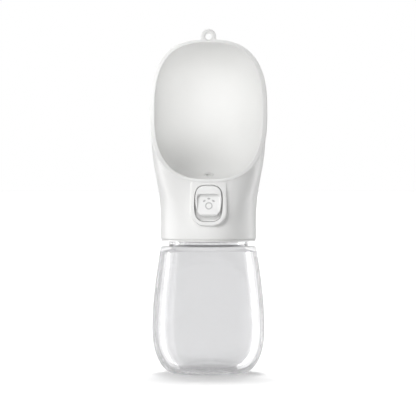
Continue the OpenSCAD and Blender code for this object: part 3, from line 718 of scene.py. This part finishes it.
def hanging_loop():
    """The loop behind the top of the rim: an arch with rounded edges, wider where it leaves the head."""
    front_edge = [(inward - loop_t / 2, grow)
                  for inward, grow in ((0, -0.8), (0.12, -0.42), (0.42, -0.12), (0.8, 0))]
    foot_flares = ((0.05, 219), (0.35, 217.9), (0.9, 217), (1.0, 215.5))
    turns = [math.radians(6 * step) for step in range(31)]
    rings = []
    for y, grow in front_edge + mirrored(front_edge):
        radius = loop_r + grow
        arch = [(radius * math.cos(turn), loop_hole_z + radius * math.sin(turn)) for turn in turns]
        foot = [(-radius - flare, z) for flare, z in foot_flares]
        outline = arch + foot + [(-x, z) for x, z in foot[::-1]]
        rings.append([(x, loop_y + y, z) for x, z in outline])
    return loft(rings[::-1])


def loop_hole():
    """The hole in the loop, wider at both ends, so that its edges are rounded."""
    front_edge = [(-6, 1.2), (-1.56, 0.6), (-1.42, 0.34), (-1.1, 0.1), (-0.7, 0)]
    turns = [math.radians(5 * step) for step in range(72)]
    rings = []
    for y, grow in front_edge + mirrored(front_edge):
        radius = loop_hole_r + grow
        rings.append([(radius * math.cos(turn), loop_y + y, loop_hole_z + radius * math.sin(turn))
                      for turn in turns])
    return loft(rings[::-1])


def upright(x, y, radii, steps=64):
    """A stack of level circles about the line through x and y, from (radius, height) pairs."""
    return loft([[(x + r * math.cos(2 * math.pi * k / steps), y + r * math.sin(2 * math.pi * k / steps), z)
                  for k in range(steps)] for r, z in radii])


print("the window is", window_w, "by", window_h, "mm and the bezel", bezel_w, "by", bezel_h, "mm")

# %% [markdown]
# The order of the cuts matters. The neck is hollowed before the seat of the nozzle is added under the floor,
# and the bowl, the window and the holes come last, so that they go through everything.

# %% Building the head
nozzle_r, seat_r = 3.5, 4.3
seat_top = floor_height(outlet_y - seat_r) - bowl_wall
seat_outer_r = seat_r + 1.6
head_mesh = combine(outer_skin(), "UNION", bezel(), hanging_loop())
head_mesh = combine(head_mesh, "DIFFERENCE", neck_hollow())
head_mesh = combine(head_mesh, "UNION",
                    upright(0, outlet_y, [(seat_outer_r, seat_top - 4), (seat_outer_r, seat_top + 3)]))
head_mesh = combine(head_mesh, "DIFFERENCE", bowl_space(), window_cut(), loop_hole(),
                    upright(0, outlet_y, [(seat_r, seat_top - 6), (seat_r, seat_top)]),
                    upright(0, outlet_y, [(nozzle_r, seat_top - 1), (nozzle_r, seat_top + 12)]))
head_piece = to_piece("bowl_head", head_mesh, white_finish, sharp=30)
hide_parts("head_shell")
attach(head_piece, "head")
print("head:", len(head_piece.data.polygons), "faces")

# %% [markdown]
# ## Key
# The key is a small moulding that a thumb pushes in and slides down. Its outline is squarish, as the window
# is, and drawn in a little more at its lower end. Its face has a ledge, a scoop and a bevel. Two outline
# blocks and the extruded side view are intersected, the scoop and the slot for the carrier's rail are cut
# out, and the result is remeshed in small cells and relaxed. That rounds every edge by a few tenths of a
# millimetre, as a mould does, and fills the slot a little, so it is cut longer by as much.

# %% Shape of the key
key_w, key_h, key_back, key_z = 17.1, 20.7, -29.9, 112.85
key_power, key_low_power, key_ahead = 3.1, 2.6, rim_y - 4
key_top, key_low = key_z + key_h / 2, key_z - key_h / 2
ledge_out, ledge_h, bevel_h, bevel_in = 1.2, 5.4, 2.0, 2.2
scoop_in, scoop_rise, scoop_w, scoop_h, scoop_corner = 1.1, 0.5, 14.6, 19.5, 2.4
step_z = key_top - ledge_h - 1.0


def scoop_line():
    """Side view of the scoop's floor as (y, z), from the step down."""
    line = []
    for step in range(15):
        share = step / 14
        sink = scoop_in - (scoop_in + scoop_rise) * smooth_step(share * 0.5 + 0.5 * share * share)
        line.append((rim_y + sink, mix(step_z, key_low + bevel_h, share)))
    return line


def key_face():
    """Side view of the key's face beside the scoop as (y, z), from the top down."""
    return [(rim_y + 0.9, key_top), (rim_y - ledge_out * 0.55, key_top - 1.1),
            (rim_y - ledge_out, key_top - 2.6), (rim_y - ledge_out, key_top - ledge_h),
            (rim_y - 0.75, step_z), (rim_y - 0.55, key_low + bevel_h), (rim_y + bevel_in, key_low)]


def extruded(points, half_width):
    """A prism along X from (y, z) points of its outline."""
    return loft([[(side * half_width, y, z) for y, z in points] for side in (1, -1)])


def block(x0, x1, y0, y1, z0, z1):
    mesh = bmesh.new()
    bmesh.ops.create_cube(mesh, size=1)
    bmesh.ops.scale(mesh, vec=(x1 - x0, y1 - y0, z1 - z0), verts=mesh.verts)
    bmesh.ops.translate(mesh, vec=((x0 + x1) / 2, (y0 + y1) / 2, (z0 + z1) / 2), verts=mesh.verts)
    return mesh


def relaxed(mesh, cell, rounds):
    """mesh remeshed in even cells, with its edges softened by rounds of smoothing."""
    data = bpy.data.meshes.new("blank")
    mesh.to_mesh(data)
    mesh.free()
    blank = bpy.data.objects.new("blank", data)
    bpy.context.scene.collection.objects.link(blank)
    tool = blank.modifiers.new("cells", "REMESH")
    tool.mode, tool.voxel_size = "VOXEL", cell
    mesh = bmesh.new()
    mesh.from_mesh(blank.evaluated_get(bpy.context.evaluated_depsgraph_get()).data)
    bpy.data.objects.remove(blank)
    bpy.data.meshes.remove(data)
    for _ in range(rounds):
        bmesh.ops.smooth_vert(mesh, verts=mesh.verts, factor=0.5,
                              use_axis_x=True, use_axis_y=True, use_axis_z=True)
    return mesh


def key_block():
    """The key before anything is cut out: its outline, its side view and the outline of its lower end."""
    drawn_up = 5
    side_view = key_face() + [(key_back, key_low), (key_back, key_top)]
    return combine(slab(key_w, key_h, key_z, [(key_back, 0), (key_ahead, 0)], power=key_power), "INTERSECT",
                   extruded(side_view, key_w),
                   slab(key_w, key_h + drawn_up, key_z + drawn_up / 2, [(key_back - 1, 0), (key_ahead, 0)],
                        power=key_low_power))


def scoop():
    """The space of the scoop: its rounded outline and its side view."""
    ahead, above = rim_y - 5, step_z + 3
    outline = slab(scoop_w, scoop_h, key_top - ledge_h - 0.2 - scoop_h / 2, [(rim_y + 2, 0), (ahead, 0)],
                   radius=scoop_corner)
    side_view = [(rim_y + scoop_in, above)] + scoop_line() + [(ahead, key_low), (ahead, above)]
    return combine(outline, "INTERSECT", extruded(side_view, key_w))


def rail_slot(width, y_front, y_back):
    """A part of the slot for the rail, open at the key's lower end."""
    half = width / 2 + slide_gap
    return block(-half, half, y_front, y_back, key_low - 1, slot_top)


rail_w, rail_neck_w, rail_half_l, slide_gap = 6.4, 3.6, 6.5, 0.15
lock_travel, slot_room = 2.5, 0.4
slot_top = valve_z + rail_half_l + lock_travel + slot_room
cell_mm, relax_rounds = 0.17, 6
key_body = combine(key_block(), "DIFFERENCE", scoop())
key_body = combine(key_body, "DIFFERENCE", rail_slot(rail_neck_w, key_back - 0.9, key_back + 1),
                   rail_slot(rail_w, key_back - 1.75, key_back - 0.45))
key_body = relaxed(key_body, cell_mm, relax_rounds)
print("key body:", len(key_body.faces), "faces")

# %% [markdown]
# A small paw is raised on the scoop: a ring for the pad and three toes. They stand a quarter of a millimetre
# proud, so each is a rounded form that sinks for the most part into the face. The face leans a little there,
# so each one is set at the depth of the face at its own height. The paw is a piece of its own, coloured grey
# as painted shade, because the shade of a relief this low would hardly show in white.

# %% Paw pictogram
def face_y(z):
    """Where the scoop's floor stands at height z."""
    line = scoop_line()
    for (y0, z0), (y1, z1) in zip(line, line[1:]):
        if z1 <= z <= z0:
            return mix(y0, y1, (z0 - z) / (z0 - z1))
    return rim_y


toe_half_w, toe_half_h, toe_half_t, toe_sink = 1.05, 0.62, 0.42, 0.14
pad_r, pad_wire_r, pad_sink = 2.0, 0.36, 0.1


def toe(x, z, lean):
    """A toe with its middle at x and z, leaning by lean degrees."""
    mesh = bmesh.new()
    bmesh.ops.create_uvsphere(mesh, u_segments=20, v_segments=12, radius=1)
    bmesh.ops.scale(mesh, vec=(toe_half_w, toe_half_t, toe_half_h), verts=mesh.verts)
    cos, sin = math.cos(math.radians(lean)), math.sin(math.radians(lean))
    for point in mesh.verts:
        point.co = (x + point.co.x * cos - point.co.z * sin, face_y(z) + toe_sink + point.co.y,
                    z + point.co.x * sin + point.co.z * cos)
    return mesh


def pad_ring(x, z, radius, wire):
    """A closed ring of round wire: a loft round the circle, whose two end caps are taken out and joined."""
    rings = []
    for step in range(49):
        angle = 2 * math.pi * step / 48
        rings.append([(x + (radius + wire * math.cos(b)) * math.cos(angle),
                       face_y(z + radius * math.sin(angle)) + pad_sink + wire * math.sin(b),
                       z + (radius + wire * math.cos(b)) * math.sin(angle))
                      for b in (2 * math.pi * k / 12 for k in range(12))])
    mesh = loft(rings)
    bmesh.ops.delete(mesh, geom=[face for face in mesh.faces if len(face.verts) == 3], context="FACES")
    bmesh.ops.remove_doubles(mesh, verts=mesh.verts, dist=1e-4)
    bmesh.ops.delete(mesh, geom=[point for point in mesh.verts if not point.link_faces], context="VERTS")
    bmesh.ops.recalc_face_normals(mesh, faces=mesh.faces)
    return mesh


paw_x, paw_z = 0.2, 110.1
toe_places = (-3.0, 3.1, 35), (0, 4.6, 0), (3.0, 3.1, -35)
toes = [toe(paw_x + x, paw_z + z, lean) for x, z, lean in toe_places]
paw_mesh = combine(pad_ring(paw_x, paw_z, pad_r, pad_wire_r), "UNION", *toes)
paw_piece = to_piece("paw_mark", paw_mesh, paw_painted_shade_finish, sharp=50)
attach(paw_piece, "key")
key_piece = to_piece("thumb_key", key_body, key_finish, sharp=50)
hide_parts("key")
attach(key_piece, "key")
print("key:", len(key_piece.data.polygons), "faces")

# %% [markdown]
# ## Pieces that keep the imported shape
# The carrier, the nozzle, the screw insert, the gasket, the vent valve and the valve body have the right
# shape already, but their edges are as sharp as a drawing. A copy of each solid is merged, because its
# triangles are loose, and its flat faces are joined. A Bevel modifier then breaks the edges, and the copy
# takes the place of the solid. The carrier gets the key's white finish, because both look alike in the
# picture.

# %% Softened copies
def body_of(node):
    return frame["nodes"][node]["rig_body"]


merge_mm, flat_angle, sharp_angle = 2e-3, 1.5, 40


def softened(node, name, finish, edge_mm, extra=None):
    """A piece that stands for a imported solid, with its edges rounded by edge_mm."""
    mesh = bmesh.new()
    mesh.from_mesh(frame["nodes"][node].data)
    bmesh.ops.scale(mesh, vec=(1 / MM, 1 / MM, 1 / MM), verts=mesh.verts)
    bmesh.ops.remove_doubles(mesh, verts=mesh.verts, dist=merge_mm)
    if extra:
        mesh = combine(mesh, "UNION", extra)
    bmesh.ops.dissolve_limit(mesh, angle_limit=math.radians(flat_angle), verts=mesh.verts, edges=mesh.edges)
    piece = to_piece(name, mesh, finish, sharp=30)
    rounding = piece.modifiers.new("broken edges", "BEVEL")
    rounding.width, rounding.segments, rounding.limit_method = edge_mm * MM, 2, "ANGLE"
    rounding.angle_limit, rounding.profile = math.radians(sharp_angle), 0.5
    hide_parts(node)
    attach(piece, body_of(node))
    print(name, len(piece.data.polygons), "faces")


softened("key_carrier", "carrier_plate", key_finish, 0.15)
softened("outlet_nozzle", "water_nozzle", silicone_finish, 0.15)
softened("screw_insert", "threaded_insert", white_finish, 0.2,
         thread(collar_r, -ridge_h, collar_thread_z))
softened("neck_gasket", "mouth_gasket", silicone_finish, 0.3)
softened("vent_valve", "air_valve", silicone_finish, 0.15)
softened("valve_body", "valve_barrel", inner_finish, 0.15)

# %% [markdown]
# ## Floor, wall and light
# The object stands in a white room. World and floor are white to the camera, apart from the soft shadow
# beside the bottle. To all other rays the floor gives back less, and the world is dimmer, most of all towards
# the right front, so that the white forms keep their edges. Wide, soft suns light the forms without a
# highlight. Two narrow spots lift the bowl and the key, and the one on the bowl comes from nearly in front,
# where no rim is in its way. Tall strips beside the bottle only show in reflections.

# %% Room and lamps
def shown_rays(nodes):
    """1 for rays from the camera, or from it through clear plastic, otherwise 0."""
    straight = nodes.node("ShaderNodeLightPath", output="Is Camera Ray")
    through = nodes.node("ShaderNodeLightPath", output="Is Transmission Ray")
    return nodes.node("ShaderNodeMath", {"operation": "MAXIMUM"}, {0: straight, 1: through})


def stage_floor(half_width=20000):
    """A floor of white paper. The camera sees it brighter than it lights the object."""
    mesh = bmesh.new()
    bmesh.ops.create_grid(mesh, x_segments=1, y_segments=1, size=half_width)
    finish = Finish("white_floor", Roughness=0.9, Specular_IOR_Level=0.0)
    speck = finish.noise(400)
    shown = shown_rays(finish)
    paper = finish.blend(speck, (0.90, 0.90, 0.905), (0.92, 0.92, 0.92))
    scaled = {0: paper, "Scale": shown * 0.47 + 0.6}
    finish.put(finish.node("ShaderNodeVectorMath", {"operation": "SCALE"}, scaled), "Base Color")
    finish.put((1, 1, 1, 1), "Emission Color")
    finish.put(shown * 0.08, "Emission Strength")
    floor = to_piece("floor", mesh, finish)
    floor.visible_glossy = False


def direction(turn, tilt):
    """A step of length 1 from the middle, turn degrees round from the camera and tilt degrees up."""
    turn, tilt = math.radians(turn), math.radians(tilt)
    return Vector((math.sin(turn) * math.cos(tilt), -math.cos(turn) * math.cos(tilt), math.sin(tilt)))


def lamp_towards(data, name, place, target):
    """A lamp at a place in metres, aimed at a target."""
    lamp = bpy.data.objects.new(name, data)
    lamp.location = place
    lamp.rotation_euler = (Vector(target) - Vector(place)).to_track_quat("-Z", "Y").to_euler()
    bpy.context.scene.collection.objects.link(lamp)
    return lamp


strip_distance, strip_h, strip_z, spot_lamp_r = 1.1, 3, 0.15, 0.015


def strip_lamp(name, start, end, radiance):
    """A tall lamp that only shows in reflections, from start to end degrees round from the camera."""
    width = 2 * strip_distance * math.tan(math.radians(abs(end - start) / 2))
    data = bpy.data.lights.new(name, "AREA")
    data.shape, data.size, data.size_y = "RECTANGLE", width, strip_h
    data.energy = radiance * math.pi * width * strip_h
    target = Vector((0, 0, strip_z))
    lamp = lamp_towards(data, name, target + strip_distance * direction((start + end) / 2, 0), target)
    lamp.visible_diffuse = False


def soft_light(name, turn, tilt, strength, spread):
    """An even, soft light from turn degrees beside the camera and tilt degrees up, without a highlight."""
    data = bpy.data.lights.new(name, "SUN")
    data.energy, data.angle = strength, math.radians(spread)
    lamp = lamp_towards(data, name, direction(turn, tilt), (0, 0, 0))
    lamp.visible_glossy = lamp.visible_transmission = False


def spot_light(name, place, target, power, cone):
    """A narrow spot, soft at its edge. A larger lamp would spread its light out of so narrow a cone."""
    data = bpy.data.lights.new(name, "SPOT")
    data.energy, data.spot_size, data.spot_blend = power, math.radians(cone), 1.0
    data.shadow_soft_size = spot_lamp_r
    lamp = lamp_towards(data, name, place, target)
    lamp.visible_glossy = lamp.visible_transmission = False


def white_room(shown_level, lit_level, dim_share, dim_towards):
    """A world of shown_level to the camera. It lights at lit_level, times dim_share towards one side."""
    world = bpy.data.worlds.new("white_room")
    room = Nodes(world, "Background")
    sides = {0: room.node("ShaderNodeTexCoord", output="Generated"), 1: dim_towards}
    towards = room.node("ShaderNodeVectorMath", {"operation": "DOT_PRODUCT"}, sides, output="Value")
    lit = room.node("ShaderNodeMapRange", {}, {"Value": towards, "From Min": 0.1, "To Min": lit_level,
                                               "To Max": lit_level * dim_share})
    level = {"Value": shown_rays(room), "To Min": lit, "To Max": shown_level}
    room.put(room.node("ShaderNodeMapRange", {}, level), "Strength")
    room.put((1, 1, 1, 1), "Color")
    bpy.context.scene.world = world


stage_floor()
white_room(shown_level=1.0, lit_level=0.5, dim_share=0.3, dim_towards=(0.85, -0.5, 0))
soft_light("front_light", -40, 12, 1.3, 30)
soft_light("left_rim_light", -130, 25, 0.3, 30)
soft_light("right_rim_light", 115, 15, 0.7, 30)
soft_light("top_back_light", 180, 70, 1.8, 20)
spot_light("bowl_spot", (0.15, -1.3, 0.2), (-0.019, 0, 0.181), 30, 4.3)
spot_light("key_spot", (-0.3, -0.95, 0.9), (-0.002, -0.035, 0.111), 23, 2.3)
strip_lamp("left_strip", -97, -124, 3.2)
strip_lamp("left_glow", -75, -97, 2.1)
strip_lamp("right_strip", 112, 131, 3.2)
strip_lamp("right_glow", 95, 112, 2.3)
strip_lamp("right_dim", 78, 95, 1.0)
print("lamps:", ", ".join(sorted(lamp.name for lamp in bpy.data.lights)))
